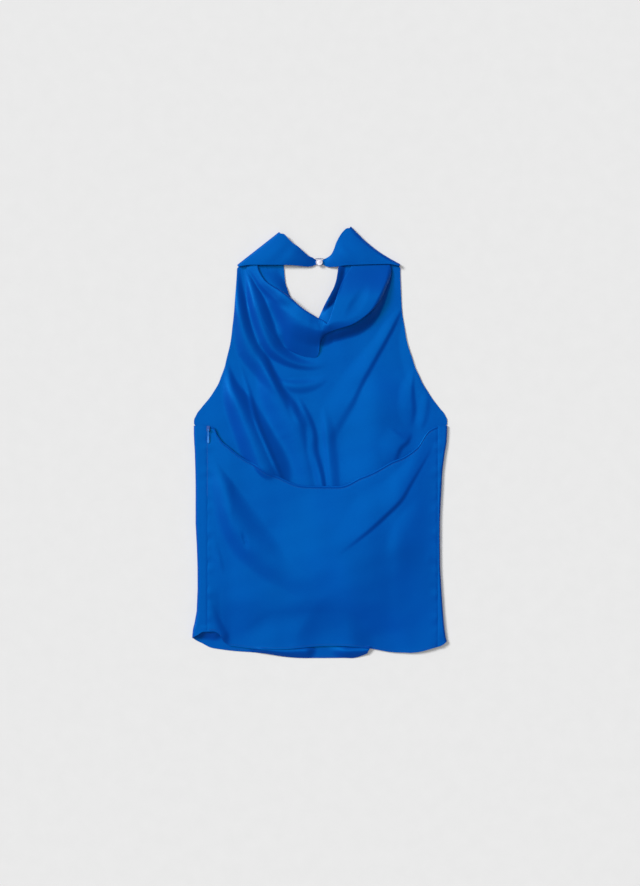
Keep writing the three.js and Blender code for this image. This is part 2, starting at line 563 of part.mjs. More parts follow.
const SATIN = { color: 0x0853b0, roughness: 0.42, metalness: 0 };
const ENAMEL = { color: 0x2f78d6, roughness: 0.35, metalness: 0.3 };
const PEARL = { color: 0xe9e6ef, roughness: 0.25, metalness: 0 };
const THREAD = { color: 0x08306e, roughness: 0.8, metalness: 0 };

const group = new THREE.Group();
function addPart(name, geometry, finish, place = [0, 0, 0]) {
  const mesh = new THREE.Mesh(geometry, new THREE.MeshStandardMaterial(finish));
  mesh.name = name;
  mesh.position.set(...place);
  group.add(mesh);
}

const strapEndTop = LEFT_STRAP.top.at(-1).z + CLOTH / 2;
addPart('front_panel', frontPanel(), SATIN);
addPart('neck_strap_left', neckStrap(LEFT_STRAP, -1), SATIN);
addPart('neck_strap_right', neckStrap(RIGHT_STRAP, 1), SATIN);
addPart('back_panel', backPanel(), SATIN);
addPart('cowl_facing', cowl(), SATIN);
addPart('neck_button', neckButton(), PEARL, [BUTTON.x, BUTTON.y, strapEndTop + GAP]);
addPart('button_loop', buttonLoop(), THREAD, [0, 0, strapEndTop + LOOP.aboveStrap]);
addPart('zip_slider', zipSlider(), ENAMEL);
addPart('zip_pull', zipPull(), ENAMEL);

export default group;
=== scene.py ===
"""Satin halter neck top, laid flat with its back side up.

Lengths are millimetres in the frame's own axes: X to the right seen from above, Y from hem to neck,
Z up from the surface. They become metres where a mesh is made. Only the reliefs of the materials and
the stage are given in metres.
"""
import math

import bmesh
import bpy
import numpy as np
from mathutils import Matrix, Vector


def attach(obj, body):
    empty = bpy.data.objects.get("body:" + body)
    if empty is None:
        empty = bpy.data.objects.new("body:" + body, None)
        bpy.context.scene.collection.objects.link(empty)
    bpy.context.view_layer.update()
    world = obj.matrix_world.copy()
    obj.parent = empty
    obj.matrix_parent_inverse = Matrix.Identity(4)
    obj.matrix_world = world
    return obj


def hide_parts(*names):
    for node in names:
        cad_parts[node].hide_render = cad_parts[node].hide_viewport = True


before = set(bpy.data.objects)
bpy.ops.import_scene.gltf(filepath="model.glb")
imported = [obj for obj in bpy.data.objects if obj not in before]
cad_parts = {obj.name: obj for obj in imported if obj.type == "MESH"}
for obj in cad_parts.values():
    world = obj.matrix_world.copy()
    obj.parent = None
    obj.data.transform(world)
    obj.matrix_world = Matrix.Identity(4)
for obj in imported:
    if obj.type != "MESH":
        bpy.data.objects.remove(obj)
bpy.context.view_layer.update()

MM = 0.001

# Cloth and layers
CLOTH = 0.5
FLOOR_LAYER = 0.6
BACK_LAYER = 3.4
LAYER_STEP = 2.1
CLEARANCE = 0.9
JOIN_DISTANCE = 0.001

# How the back rises above its hem and away from its seams, and how softly it meets the front
BACK_PUFF = 4.4
PUFF_ABOVE_HEM = 80
LEFT_SEAM_BLEND = 40
RIGHT_SEAM_BLEND = 70
BACK_SEAM_GAP = 0.03
CONTACT_SOFTNESS = 0.4

# The front's slack over the surface, and where its folds die away: under the back panel, under the
# turned straps, and at the upper end of the cowl's lip
FRONT_SLACK = 0.3
PANEL_COVER = 40
PANEL_FADE = 38
STRAP_COVER_Y = 302
STRAP_FADE = 26
LIP_END_Y = 292
LIP_FADE = 62

# Garment sizes
STRIP_TOP_Y = 26.8
NECK_BOTTOM_X = -2.8
NECK_BOTTOM_Y = 196
LEFT_SEAM_X = -179.5
RIGHT_SEAM_X = 188.4
STRAP_FOLD_RADIUS = 3.4
STRAP_FOLD_INSET = 4.0
HEM_STRIP_Y = -313
HEM_TOP_Y = -290

# Outlines of the laid garment, as (place, value)
LEFT_SIDE = [
    (-313, -204.2), (-300, -203.1), (-276, -197.7), (-236, -195.6), (-164, -196.9), (-140, -198.8),
    (-92, -198.8), (-20, -200), (20, -201.7), (33, -201.7), (42, -198.8), (55, -190), (80, -170.8),
    (106, -158), (132, -150), (183, -140.4), (234, -135.6), (284, -132.4),
]
RIGHT_SIDE = [
    (-317, 204.7), (-300, 200.4), (-276, 197.7), (-236, 194.8), (-164, 192.4), (-68, 195.3),
    (-20, 199.8), (4, 203.3), (33, 204.2), (42, 201.5), (55, 191.9), (80, 174), (106, 159.6),
    (132, 149.2), (183, 136.4), (234, 130.8), (284, 129),
]
FRONT_HEM = [
    (-204, -313), (-189, -321), (-166, -330), (-95, -336.7), (-18, -345), (39, -344.7),
    (76, -337.5), (80, -329), (150, -328), (205, -317),
]
BACK_HEM = [
    (-204, -312), (-195, -307.6), (-183, -302), (-172, -302), (-162, -305), (-152, -320),
    (-138, -326), (-64, -330.5), (14, -325.5), (76, -329), (128, -336), (188, -327), (205, -317),
]
BACK_TOP = [
    (-180, 26), (-170, 24.4), (-164, 12), (-147, -6), (-104, -35), (-68, -54), (-11, -69.4),
    (21, -70), (66, -55.6), (114, -31.6), (156, -7.6), (169, 12), (178, 21), (189, 26),
]
LEFT_NECKLINE = [
    (196, -2.8), (205, -24), (217, -38), (229, -45.2), (244, -51.6), (260, -55.6), (282, -57.2),
]
RIGHT_NECKLINE = [
    (196, -2.8), (210, 3.6), (226, 11.6), (238, 18), (250, 23.6), (266, 27.6), (281, 29.7),
]
LEFT_TURN = [(-313, 4.6), (-240, 4), (-120, 3.4), (27, 2.2)]
RIGHT_TURN = [(-317, 2.6), (-150, 2.1), (27, 2.1)]

# Straps: the slanting fold's two ends and how far it bows in, the last rows in front of it as (outer x,
# outer y, inner x, inner y), and the turned part as (low x, low y, high x, high y, height, puff)
LEFT_STRAP = {
    "corner": (-132.4, 283.6), "peak": (-65.2, 336.4), "bow": 0,
    "fan": [(-132.4, 275.5, -58.4, 296), (-132, 278, -60.5, 316)],
    "top": [
        (-112, 283.2, -56.4, 332, 7.6, 0.7), (-92, 283.2, -50, 325, 7.9, 1),
        (-72, 283.2, -42.8, 318, 7.7, 0.7), (-54, 283, -34.8, 312.6, 7.3, 1),
        (-38, 282.3, -26.8, 305.4, 6.2, 0.8), (-25, 281, -18, 298, 4.6, 0.6),
        (-14, 281, -11, 295, 3, 0.3), (-7.6, 283.6, -7, 292, 2.2, 0), (0.8, 285.4, 0.8, 289.6, 2, 0),
    ],
}
RIGHT_STRAP = {
    "corner": (129.2, 284.7), "peak": (50, 345.2), "bow": 5,
    "fan": [(128.8, 276, 33, 300), (128.5, 279, 40, 322)],
    "top": [
        (112, 284.4, 42, 341, 7.4, 0.8), (92, 284.2, 35.6, 334.6, 7.4, 1.4),
        (72, 283.8, 30.8, 327.4, 7.8, 1), (54, 283, 26, 318, 7.6, 1.4),
        (38, 282.2, 22.8, 308.6, 6.8, 0.8), (24, 280.2, 18, 299.6, 5.2, 0.5),
        (13, 280.4, 11.6, 295, 3, 0.3), (6.6, 283.2, 6, 292.4, 2.2, 0), (3.6, 285.4, 3.6, 289.6, 2, 0),
    ],
}

# Draped cowl: how steeply it rises and falls, how soon a slope that ends before the edge gets a soft
# foot, how far its turned edges reach underneath, and the radius below which the lower one isn't turned
COWL_RISE_POWER = 1.3
COWL_FALL_POWER = 1.5
COWL_SOFT_FOOT = 6
COWL_UNDER = (8.0, 4.0)
COWL_THIN_EDGE = 0.25

# The cowl's sections, each from its neck edge to its lower edge: the two ends, the heights above the
# front at the neck edge, at the crest and at the lower edge, the shares of the way at which the crest
# and the foot of its slope lie, and the radius of each turned edge
COWL_SECTIONS = [
    (-94, 300, -118, 288, 0.6, 1, -1, 0.4, 1, 0.6, 0.25),
    (-98.8, 281, -117, 277, 1, 1.4, -1.2, 0.5, 1, 1, 0.25),
    (-89, 261, -110, 250, 1.5, 2.1, -1.6, 0.34, 0.7, 1.6, 0.25),
    (-76, 250, -102, 222, 3, 4.2, -1.9, 0.27, 0.6, 2, 0.25),
    (-61, 241, -90, 192, 5.8, 8, -2.1, 0.25, 0.7, 2.2, 0.25),
    (-45, 229, -73, 166, 8.8, 11.6, -2.3, 0.26, 0.88, 2.4, 0.25),
    (-32, 217, -52, 149, 10, 13, -2.3, 0.25, 1, 2.4, 0.25),
    (-18, 207, -29, 138, 8, 10.8, -2.3, 0.2, 1, 2.2, 0.25),
    (-8, 201, -13, 135, 5.6, 8, -2.3, 0.18, 1, 2, 0.25),
    (-3, 198, -4, 137, 4.4, 6.6, -1.6, 0.18, 1, 1.8, 0.4),
    (1, 196, -1, 146, 3.8, 5.6, 0.6, 0.2, 1, 1.6, 0.9),
    (5, 194, 1, 160, 3.4, 5, 1.4, 0.2, 1, 1.4, 1.3),
    (9, 191, 8, 171, 3.4, 4.8, -0.2, 0.18, 1, 1.2, 1.5),
    (12, 189.5, 20, 177, 3.2, 4.6, -0.4, 0.18, 1, 1.1, 1.5),
    (16, 197, 34, 181.5, 2.6, 4.2, 0.6, 0.34, 1, 0.8, 1.5),
    (20, 209, 53, 187.6, 2.2, 4.2, 2, 0.7, 1, 0.7, 1.5),
    (25, 225, 71, 199, 2, 4.6, 2.8, 0.86, 1, 0.6, 1.5),
    (31, 243, 85, 211.6, 1.8, 4.4, 2.8, 0.9, 1, 0.6, 1.5),
    (36.5, 257, 96.4, 226, 1.5, 4.2, 2.6, 0.9, 1, 0.5, 1.5),
    (43, 269, 105, 243, 1, 3.8, 2.4, 0.9, 1, 0.5, 1.4),
    (50, 280, 114, 268, 0.6, 2.6, 1.6, 0.9, 1, 0.5, 1.1),
    (56, 298, 112, 286, 0.2, 1, 0.6, 0.9, 1, 0.4, 0.4),
]

# Share of its width that a fold keeps at its two ends
FOLD_END_WIDTH = 0.5


def fold(path, left, right, height, rise=0.25, fade=0.3, roundness=(2,)):
    """A soft ridge, or a trough where the height is below 0, along a route over the cloth.

    left and right are its widths on the walker's two sides, one number or several along the way,
    rise and fade the shares of the route over which it grows and dies away, 0 for a round end.
    Its roundness, one for both sides or two, pinches the crest under 2 and flattens it above.
    """
    return {"path": path, "left": np.atleast_1d(left), "right": np.atleast_1d(right), "height": height,
            "rise": rise, "fade": fade, "roundness": roundness}


# Folds of the front above the back panel, from the left armhole to the right one, then beside the neck
FRONT_FOLDS = [
    fold([(-133, 286), (-131, 225), (-123, 182), (-111, 152), (-93, 122), (-73, 92), (-48, 54)],
         (12, 20, 24, 18, 14), (8, 14, 26, 24, 18), 6.5, 0.25, 0.5),
    fold([(-121, 290), (-106, 236), (-94, 192), (-81, 158), (-65, 140), (-41, 127), (-10, 122), (16, 128)],
         (12, 29, 34, 24, 16, 16), (10, 17, 19, 16, 14, 15), 9.2, 0.22, 0.78),
    fold([(-74, 104), (-46, 91), (-10, 93), (16, 106)], (8, 13, 15), (8, 15, 14), 2, 0.4, 0.6),
    fold([(-96, 156), (-75, 92), (-52, 46), (-31, 4), (-8, -110)], (12, 18, 24, 26), (22, 32, 40, 34),
         5, 0.3, 0.35),
    fold([(-50, 74), (-36, 44), (-22, 12)], (10, 12, 12), 10, 1.8, 0.4, 0.4),
    fold([(-150, 132), (-142, 88), (-128, 52), (-110, 8), (-92, -40), (-64, -110)], (8, 22, 34, 47, 54),
         (16, 26, 30), 9, 0.38, 0.2),
    fold([(-131, 134), (-114, 80), (-103, 38), (-86, -4), (-64, -54), (-50, -90)], 6, 4, 1.6, 0.3, 0.32,
         (1.6,)),
    fold([(-38, 78), (-24, 48), (-12, 16), (-9, -16), (2, -60), (8, -110)], (7, 8, 7), 12, 2.3, 0.3, 0.1),
    fold([(4, 62), (10, 20), (15, -30), (22, -110)], 16, 8, 1.5, 0.4, 0.1),
    fold([(135, 222), (102, 161), (87, 135), (68, 103), (50, 70), (30, 38), (14, 6), (8, -50)],
         (6, 6, 9, 18, 28), (12, 22, 34, 42, 36), 1.9, 0.1, 0.45),
    fold([(98, 116), (92, 40), (88, -90)], (60, 70, 60), (44, 60, 60), 3.4, 0.4, 0.1),
    fold([(151, 122), (146, 84), (147, 50), (144, 18)], (5, 7, 9), (16, 24, 26), 1.4, 0.4, 0.4),
    fold([(147, 18), (138, 2), (126, -10), (116, -40)], 6, 36, 2, 0.4, 0.3),
    fold([(172, 84), (168, 50), (160, 16)], 8, 14, 0.7, 0.4, 0.3),
    fold([(137, 202), (150, 122), (180, 58)], 12, 18, 1.2, 0.3, 0.4),
    fold([(5, 208), (12, 226), (20, 246), (27, 268), (31, 296)], 8, (6, 12, 14, 13, 12), 7, 0.25, 0.1),
    fold([(-108, 300), (-92, 262), (-64, 240), (-38, 216)], (44, 38, 18, 12), (22, 18, 22), 3.6, 0.6, 0.3),
]

# Front lifted under the cowl's lip
LIP_FOLDS = [
    fold([(-62, 196), (-30, 188), (0, 179), (20, 178), (38, 182), (55, 188), (70, 198), (82, 211),
          (92, 227), (100, 244), (108, 270), (112, 330)],
         100, (50, 46, 30, 18, 17, 18, 18, 16, 13, 10, 8, 8), 11, 0.25, 0, (5, 1.7)),
    fold([(78, 258), (62, 226), (40, 196)], 14, 12, -0.9, 0.45, 0.4),
]

# Folds of the back panel: the large ones from its seams and in its middle, then those near its edges
BACK_FOLDS = [
    fold([(-177, -8), (-166, -64), (-148, -110), (-118, -154), (-80, -192), (-44, -216), (0, -240)],
         (12, 30, 44, 48, 44, 36), (12, 22, 38, 46, 46), 6, 0.2, 0.72),
    fold([(192, 18), (166, -28), (143, -66), (127, -92), (100, -118), (74, -141), (50, -160), (16, -186)],
         (3, 5, 6, 8, 14), (14, 30, 50, 60, 60), 2.4, 0.08, 0.45),
    fold([(180, -66), (154, -120), (130, -165), (108, -198)], (44, 56, 56), (22, 30, 32), 1.2, 0.45, 0.45),
    fold([(26, -190), (40, -200)], 122, 122, 5.4, 0, 0),
    fold([(-130, -332), (-60, -331), (30, -328), (90, -331)], 60, 20, 3.4, 0.3, 0.3),
    fold([(-185, -100), (-184, -190), (-182, -250), (-171, -285), (-150, -325)], (8, 10, 13, 15),
         (7, 9, 10, 14), 3.6, 0.25, 0.1),
    fold([(-176, -142), (-166, -178), (-154, -214)], 9, 7, 1.3, 0.4, 0.4),
    fold([(-124, -140), (-114, -174)], 5, 5, -0.9, 0.4, 0.4, (1.4,)),
    fold([(8, -244), (8, -290), (8, -340)], (30, 44, 58), (30, 44, 58), -2.2, 0.8, 0),
    fold([(116, -196), (134, -244), (142, -300)], 44, 44, -0.5, 0.5, 0.5),
    fold([(96, -270), (104, -310), (108, -344)], 38, 38, -0.8, 0.5, 0.05),
    fold([(194, -250), (181, -272)], 5, 9, 1.1, 0.4, 0.4),
    fold([(183, -166), (171, -198)], 5, 9, 1, 0.4, 0.4),
]

# Folds of the front's own hem, below the back panel
HEM_FOLDS = [
    fold([(-202, -296), (-186, -297), (-168, -299), (-150, -306)], 20, 18, 6, 0.1, 0.3),
    fold([(-120, -327), (-70, -332), (-30, -332), (-4, -331)], 7, (10, 13, 15), 5.5, 0.2, 0.25),
    fold([(12, -331), (44, -332), (84, -330)], 7, 14, 5.5, 0.5, 0.05),
]

# Unevenness all over the cloth, each layer of crossing waves with its height, its shift and the lengths
# of its four parts
RIPPLES = [(0.3, 0, 19, 31, 24, -43), (0.1, 2, 9.7, -13, 11.3, 21)]
BACK_RIPPLE_X = 150
BACK_RIPPLE_Y = -70

# Side seams: a groove and the puckers beside it, each wave with its height, its length and its shift
GROOVE_DEPTH = 0.26
GROOVE_WIDTH = 1.6
GROOVE_WAVES = [(0.1, 2.9, 0), (0.06, 6.7, 0)]
PUCKER_WIDTH = 8
PUCKER_WAVES = [(0.2, 5.3, 0), (0.14, 3.1, 1)]

# Sewing and zip coil
STITCH_PITCH = 2.7
STITCH_SIZE = (1.9, 0.5, 0.3)
HEM_STITCH_INSET = 2.8
TOP_STITCH_INSET = 4.4
BACK_HEM_MARGIN = 3
LEFT_TOP_MARGIN = 12
RIGHT_TOP_MARGIN = 9
FRONT_STITCHES_FROM = -150
FRONT_STITCHES_TO = 74
ZIP_TOP_Y = 17
ZIP_BOTTOM_Y = -86
COIL_PITCH = 1.1
COIL_SIZE = (1.1, 0.7, 0.7)
COIL_OFFSET = 0.45
COIL_SINK = 0.05
COIL_ANGLE = 0.2

# Rolled top edge of the back: its bead and its stitched furrow, as (height, distance, width)
TOP_ROLL = [(0.45, 1.4, 1.1), (-0.12, TOP_STITCH_INSET, 1.2)]

# How the pieces are resolved: columns across, rows from the hem up, and steps along turns
BODY_COLUMNS = 76
WRAP_COLUMNS = 8
BACK_COLUMNS = 150
BACK_ROWS = 134
COWL_COLUMNS = 40
HEM_ROWS = 12
COVERED_LEVELS = (-270, -235, -200, -165, -130, -105)
SEEN_BOTTOM_Y = -84
SEEN_ROWS = 46
UNDERARM_LEVELS = (29, 31, 32.9, 35, 38, 41, 44, 47)
BODY_BOTTOM_Y = 50
BODY_ROWS = 60
NECK_TOP_Y = 272
NECK_ROWS = 31
STRAP_FOLD_ROWS = 9
STRAP_STEPS = 5
COWL_STEPS = 8
COWL_TURN_STEPS = 7
BEADS_AT_ONCE = 30
BEAD_SEGMENTS = 8
BEAD_RINGS = 5

# Distances of the back's rows from its top edge and from its hem
TOP_EDGE = (0, 0.5, 1, 1.5, 2, 2.6, 3.3, 4, 4.8, 5.8, 7)
HEM_EDGE = (0, 0.8, 1.6, 2.4, 3.2, 4.2)

# Satin: its colours, its weave and the slow drift of its tone
SATIN_BLUE = (0.0008, 0.046, 0.325)
SATIN_SHEEN = (0.0, 0.44, 1, 1)
SATIN_ROUGHNESS = 0.42
WEAVE_THREADS = 900
WEAVE_DISTORTION = 1.2
WEAVE_SHARE = 0.12
WEAVE_STRENGTH = 0.25
WEAVE_DEPTH = 0.0004
WAVINESS_SCALE = 60
DRIFT_SCALE = 9
DRIFT_MARGIN = 0.3
DARK_SHARE = 0.94
LIGHT_SHARE = 1.06

# Grain and scratches of the small parts
SCRATCH_STRETCH = (1, 14, 3)
SCRATCH_ANGLE = 0.5
SCRATCH_SCALE = 260
SCRATCH_SHARE = 0.4
GRAIN_MARGIN = 0.35
ROUGHNESS_SPREAD = 0.25

# Stage in metres, each light with its name, energy, width and elevation in degrees
FLOOR_SIZE = 6
FLOOR_CELLS = 8
FLOOR_GAP = 0.0004
SKY_STRENGTH = 0.21
LIGHT_DIRECTION = (0.84, -0.54)
LIGHT_DISTANCE = 2
LIGHTS = [("key", 2.93, 20, 40), ("overhead", 0.85, 30, 80)]
CAMERA_X = 0.0004
CAMERA_Y = -0.0012
CAMERA_HEIGHT = 3.0
PICTURE_HEIGHT = 1.4176
SENSOR_WIDTH = 36


def smooth(value):
    value = np.clip(value, 0, 1)
    return value * value * (3 - 2 * value)


def mix(a, b, share):
    return a + (b - a) * share


def curve(rows):
    """A smooth curve through a table's rows that never overshoots them."""
    at, values = np.array(rows, float).T
    spans = np.diff(at)
    slopes = np.diff(values) / spans
    product = slopes[:-1] * slopes[1:]
    total = np.where(product > 0, slopes[:-1] + slopes[1:], 1)
    inner = np.where(product > 0, 2 * product / total, 0)
    tangents = np.concatenate([slopes[:1], inner, slopes[-1:]])

    def value_at(position):
        i = np.clip(np.searchsorted(at, position, side="right") - 1, 0, len(spans) - 1)
        t = np.clip((position - at[i]) / spans[i], 0, 1)
        start = values[i] + tangents[i] * spans[i] * t
        end = values[i + 1] - tangents[i + 1] * spans[i] * (1 - t)
        return mix(start, end, smooth(t))

    return value_at


def route(points, steps=6):
    """A smooth route through a few points, or through the rows of a table."""
    points = np.array(points, float)
    ends = [2 * points[0] - points[1], *points, 2 * points[-1] - points[-2]]
    t = np.linspace(0, 1, steps, endpoint=False).reshape((-1,) + (1,) * (points.ndim - 1))
    parts = [
        0.5 * (2 * b + (c - a) * t + (2 * a - 5 * b + 4 * c - d) * t**2 + (3 * b - a - 3 * c + d) * t**3)
        for a, b, c, d in zip(ends, ends[1:], ends[2:], ends[3:])
    ]
    return np.concatenate([*parts, points[-1:]])


left_side = curve(LEFT_SIDE)
right_side = curve(RIGHT_SIDE)
front_hem = curve(FRONT_HEM)
back_hem = curve(BACK_HEM)
back_top = curve(BACK_TOP)
left_neckline = curve(LEFT_NECKLINE)
right_neckline = curve(RIGHT_NECKLINE)
left_turn = curve(LEFT_TURN)
right_turn = curve(RIGHT_TURN)


def along_route(along, values):
    """Values spread evenly over a route, read at shares of its length."""
    return np.interp(along, np.linspace(0, 1, len(values)), values)


def height_of_fold(one, x, y):
    """Height that one fold adds at each place, from the place's distance to the fold's route."""
    points = route(one["path"])
    best = np.full(x.shape, np.inf)
    side = np.zeros(x.shape)
    along = np.zeros(x.shape)
    for i, (start, end) in enumerate(zip(points, points[1:])):
        step = end - start
        dx = x - start[0]
        dy = y - start[1]
        share = np.clip((dx * step[0] + dy * step[1]) / (step @ step), 0, 1)
        distance = np.hypot(dx - share * step[0], dy - share * step[1])
        closer = distance < best
        best = np.where(closer, distance, best)
        side = np.where(closer, step[0] * dy - step[1] * dx, side)
        along = np.where(closer, (i + share) / (len(points) - 1), along)
    body = np.ones(x.shape)
    if one["rise"]:
        body = body * smooth(along / one["rise"])
    if one["fade"]:
        body = body * smooth((1 - along) / one["fade"])
    width = np.where(side > 0, along_route(along, one["left"]), along_route(along, one["right"]))
    width = width * mix(FOLD_END_WIDTH, 1, body)
    power = np.where(side > 0, one["roundness"][0], one["roundness"][-1])
    across = np.clip(1 - (best / width) ** power, 0, None) ** 2
    return one["height"] * across * body


def folds_height(folds, x, y):
    """Height that all of the folds add together, each worked out only where it can reach."""
    height = np.zeros(x.shape)
    for one in folds:
        reach = max(one["left"].max(), one["right"].max())
        low = np.min(one["path"], axis=0) - reach
        high = np.max(one["path"], axis=0) + reach
        near = (x > low[0]) & (x < high[0]) & (y > low[1]) & (y < high[1])
        if near.any():
            height[near] += height_of_fold(one, x[near], y[near])
    return height


def front_height(x, y):
    """Height of the front's middle surface, flat under the back panel and under the turned straps."""
    above_panel = smooth((y - back_top(x) + PANEL_COVER) / PANEL_FADE)
    below_straps = smooth((STRAP_COVER_Y - y) / STRAP_FADE)
    height = np.maximum(folds_height(FRONT_FOLDS, x, y), -FRONT_SLACK)
    height = height + FRONT_SLACK + ripple(x, y)
    lip = folds_height(LIP_FOLDS, x, y) * smooth((LIP_END_Y - y) / LIP_FADE)
    return FLOOR_LAYER + height * above_panel * below_straps + lip + folds_height(HEM_FOLDS, x, y)


def ripple(x, y):
    """Slight unevenness that satin keeps even where it lies flat."""
    return sum(
        height * (np.sin(x / a + y / b + shift) * np.sin(y / c + x / d))
        for height, shift, a, b, c, d in RIPPLES
    )


def grid_of(x, y, z):
    """A grid of points from its coordinates, any of which may be a single row, column or number."""
    return np.stack(np.broadcast_arrays(x, y, z), axis=-1).astype(float)


def flat_rows(y, left, right, columns):
    """Rows of the front at the levels y, from the left x to the right x of each."""
    share = np.linspace(0, 1, columns)
    x = mix(left[:, None], right[:, None], share)
    y = np.broadcast_to(y[:, None], x.shape)
    return grid_of(x, y, front_height(x, y))


def wrapped_rows(y):
    """Rows below the underarms, from the left seam round under the back to the right seam."""
    towards_hem = np.clip((HEM_TOP_Y - y) / (HEM_TOP_Y - HEM_STRIP_Y), 0, 1)[:, None]
    radius_left = left_turn(y)[:, None]
    radius_right = right_turn(y)[:, None]
    flat_left = left_side(y)[:, None] + FLOOR_LAYER + radius_left
    flat_right = right_side(y)[:, None] - FLOOR_LAYER - radius_right
    half = np.linspace(0, 1, BODY_COLUMNS)
    x_flat = np.hstack([mix(flat_left, NECK_BOTTOM_X, half), mix(NECK_BOTTOM_X, flat_right, half[1:])])
    row_y = y[:, None]

    def level(x, curve_at_hem):
        return mix(np.maximum(row_y, HEM_TOP_Y), curve_at_hem(x), towards_hem)

    y_flat = level(x_flat, front_hem)
    flat = grid_of(x_flat, y_flat, front_height(x_flat, y_flat))
    turns = np.arange(1, WRAP_COLUMNS + 1) / WRAP_COLUMNS

    def turn(x_edge, radius, outwards):
        x = x_edge + outwards * radius * np.sin(math.pi * turns)
        z = FLOOR_LAYER + radius * (1 - np.cos(math.pi * turns))
        return grid_of(x, mix(level(x, front_hem), level(x, back_hem), smooth(turns)), z)

    def strip(x_edge, radius, seam_x):
        share = np.linspace(0, 1, WRAP_COLUMNS)[1:]
        x = mix(x_edge, seam_x, share)
        z = FLOOR_LAYER + 2 * radius - seam_dip(x - seam_x, row_y)
        return grid_of(x, level(x, back_hem), z)

    def side(x_edge, radius, seam_x):
        outwards = 1 if seam_x > NECK_BOTTOM_X else -1
        return np.concatenate([turn(x_edge, radius, outwards), strip(x_edge, radius, seam_x)], axis=1)

    left = side(flat_left, radius_left, LEFT_SEAM_X)
    right = side(flat_right, radius_right, RIGHT_SEAM_X)
    return np.concatenate([left[:, ::-1], flat, right], axis=1)


def waves_along(y, waves, level=0):
    """Waves along y over a level, each given as its height, its length and its shift."""
    return sum((height * np.sin(y / length + shift) for height, length, shift in waves), level)


def bell(distance, width):
    return np.exp(-(distance / width) ** 2)


def seam_dip(distance, y):
    """How far the cloth sinks into a side seam's groove, with the small puckers its stitching pulls in."""
    groove = waves_along(y, GROOVE_WAVES, GROOVE_DEPTH) * bell(distance, GROOVE_WIDTH)
    return groove + waves_along(y, PUCKER_WAVES) * bell(distance, PUCKER_WIDTH)


def neck_rows(strap, side, y, outer, inner):
    """One strap: the front beside the neck gap, its slanting fold and the part turned over on top."""
    share = np.linspace(0, 1, BODY_COLUMNS)
    leg_x = mix(outer[:, None], inner[:, None], share)
    leg_y = np.broadcast_to(y[:, None], leg_x.shape)
    leg = grid_of(leg_x, leg_y, front_height(leg_x, leg_y))
    fan = []
    for x0, y0, x1, y1 in strap["fan"]:
        x = mix(x0, x1, share)
        row_y = mix(y0, y1, share)
        fan.append(grid_of(x, row_y, front_height(x, row_y)))
    corner = np.array(strap["corner"])
    peak = np.array(strap["peak"])
    along = (peak - corner) / np.linalg.norm(peak - corner)
    out = np.array([side * along[1], -side * along[0]])
    bulge = np.sin(math.pi * share)
    turned = []
    for angle in np.linspace(0, math.pi, STRAP_FOLD_ROWS):
        reach = STRAP_FOLD_RADIUS * math.sin(angle) - STRAP_FOLD_INSET - strap["bow"] * bulge
        place = mix(corner, peak, share[:, None]) + out * reach[:, None]
        height = FLOOR_LAYER + STRAP_FOLD_RADIUS * (1 - math.cos(angle))
        turned.append(grid_of(place[:, 0], place[:, 1], height))
    top = []
    for low_x, low_y, high_x, high_y, z, puff in strap["top"]:
        top.append(grid_of(mix(low_x, high_x, share), mix(low_y, high_y, share), z + puff * bulge))
    joined = route(np.array([leg[-1], *fan, turned[0]]), STRAP_STEPS)
    over = route(np.array([turned[-1], *top]), STRAP_STEPS)
    rows = np.concatenate([leg[:-1], joined, np.array(turned[1:-1]), over])
    return rows if side < 0 else rows[:, ::-1]


def make_cloth(name, grids):
    """A thin closed shell from grids of points; grids that share points are joined."""
    bm = bmesh.new()
    uv_layer = bm.loops.layers.uv.new("cloth")
    for grid in grids:
        rows, columns = grid.shape[:2]
        steps_across = np.linalg.norm(np.diff(grid, axis=1), axis=2)
        u = np.hstack([np.zeros((rows, 1)), np.cumsum(steps_across, axis=1)])
        u -= u[:, columns // 2:columns // 2 + 1]
        steps_up = np.linalg.norm(np.diff(grid[:, columns // 2], axis=0), axis=1)
        v = np.concatenate([[0], np.cumsum(steps_up)])
        made = bmesh.ops.create_grid(bm, x_segments=columns - 1, y_segments=rows - 1, size=1)
        for vert in made["verts"]:
            j = round((vert.co.x + 1) / 2 * (columns - 1))
            i = round((vert.co.y + 1) / 2 * (rows - 1))
            vert.co = grid[i, j] * MM
            for loop in vert.link_loops:
                loop[uv_layer].uv = (u[i, j] * MM, v[i] * MM)
    bmesh.ops.remove_doubles(bm, verts=bm.verts, dist=JOIN_DISTANCE * MM)
    for face in bm.faces:
        face.smooth = True
    for edge in bm.edges:
        edge.smooth = not edge.is_boundary
    piece = finish_mesh(name, bm)
    shell = piece.modifiers.new("thickness", "SOLIDIFY")
    shell.thickness = CLOTH * MM
    shell.offset = 0
    return piece


def finish_mesh(name, bm):
    """A piece of the scene from a mesh under construction."""
    mesh = bpy.data.meshes.new(name)
    bm.to_mesh(mesh)
    bm.free()
    piece = bpy.data.objects.new(name, mesh)
    bpy.context.collection.objects.link(piece)
    return piece


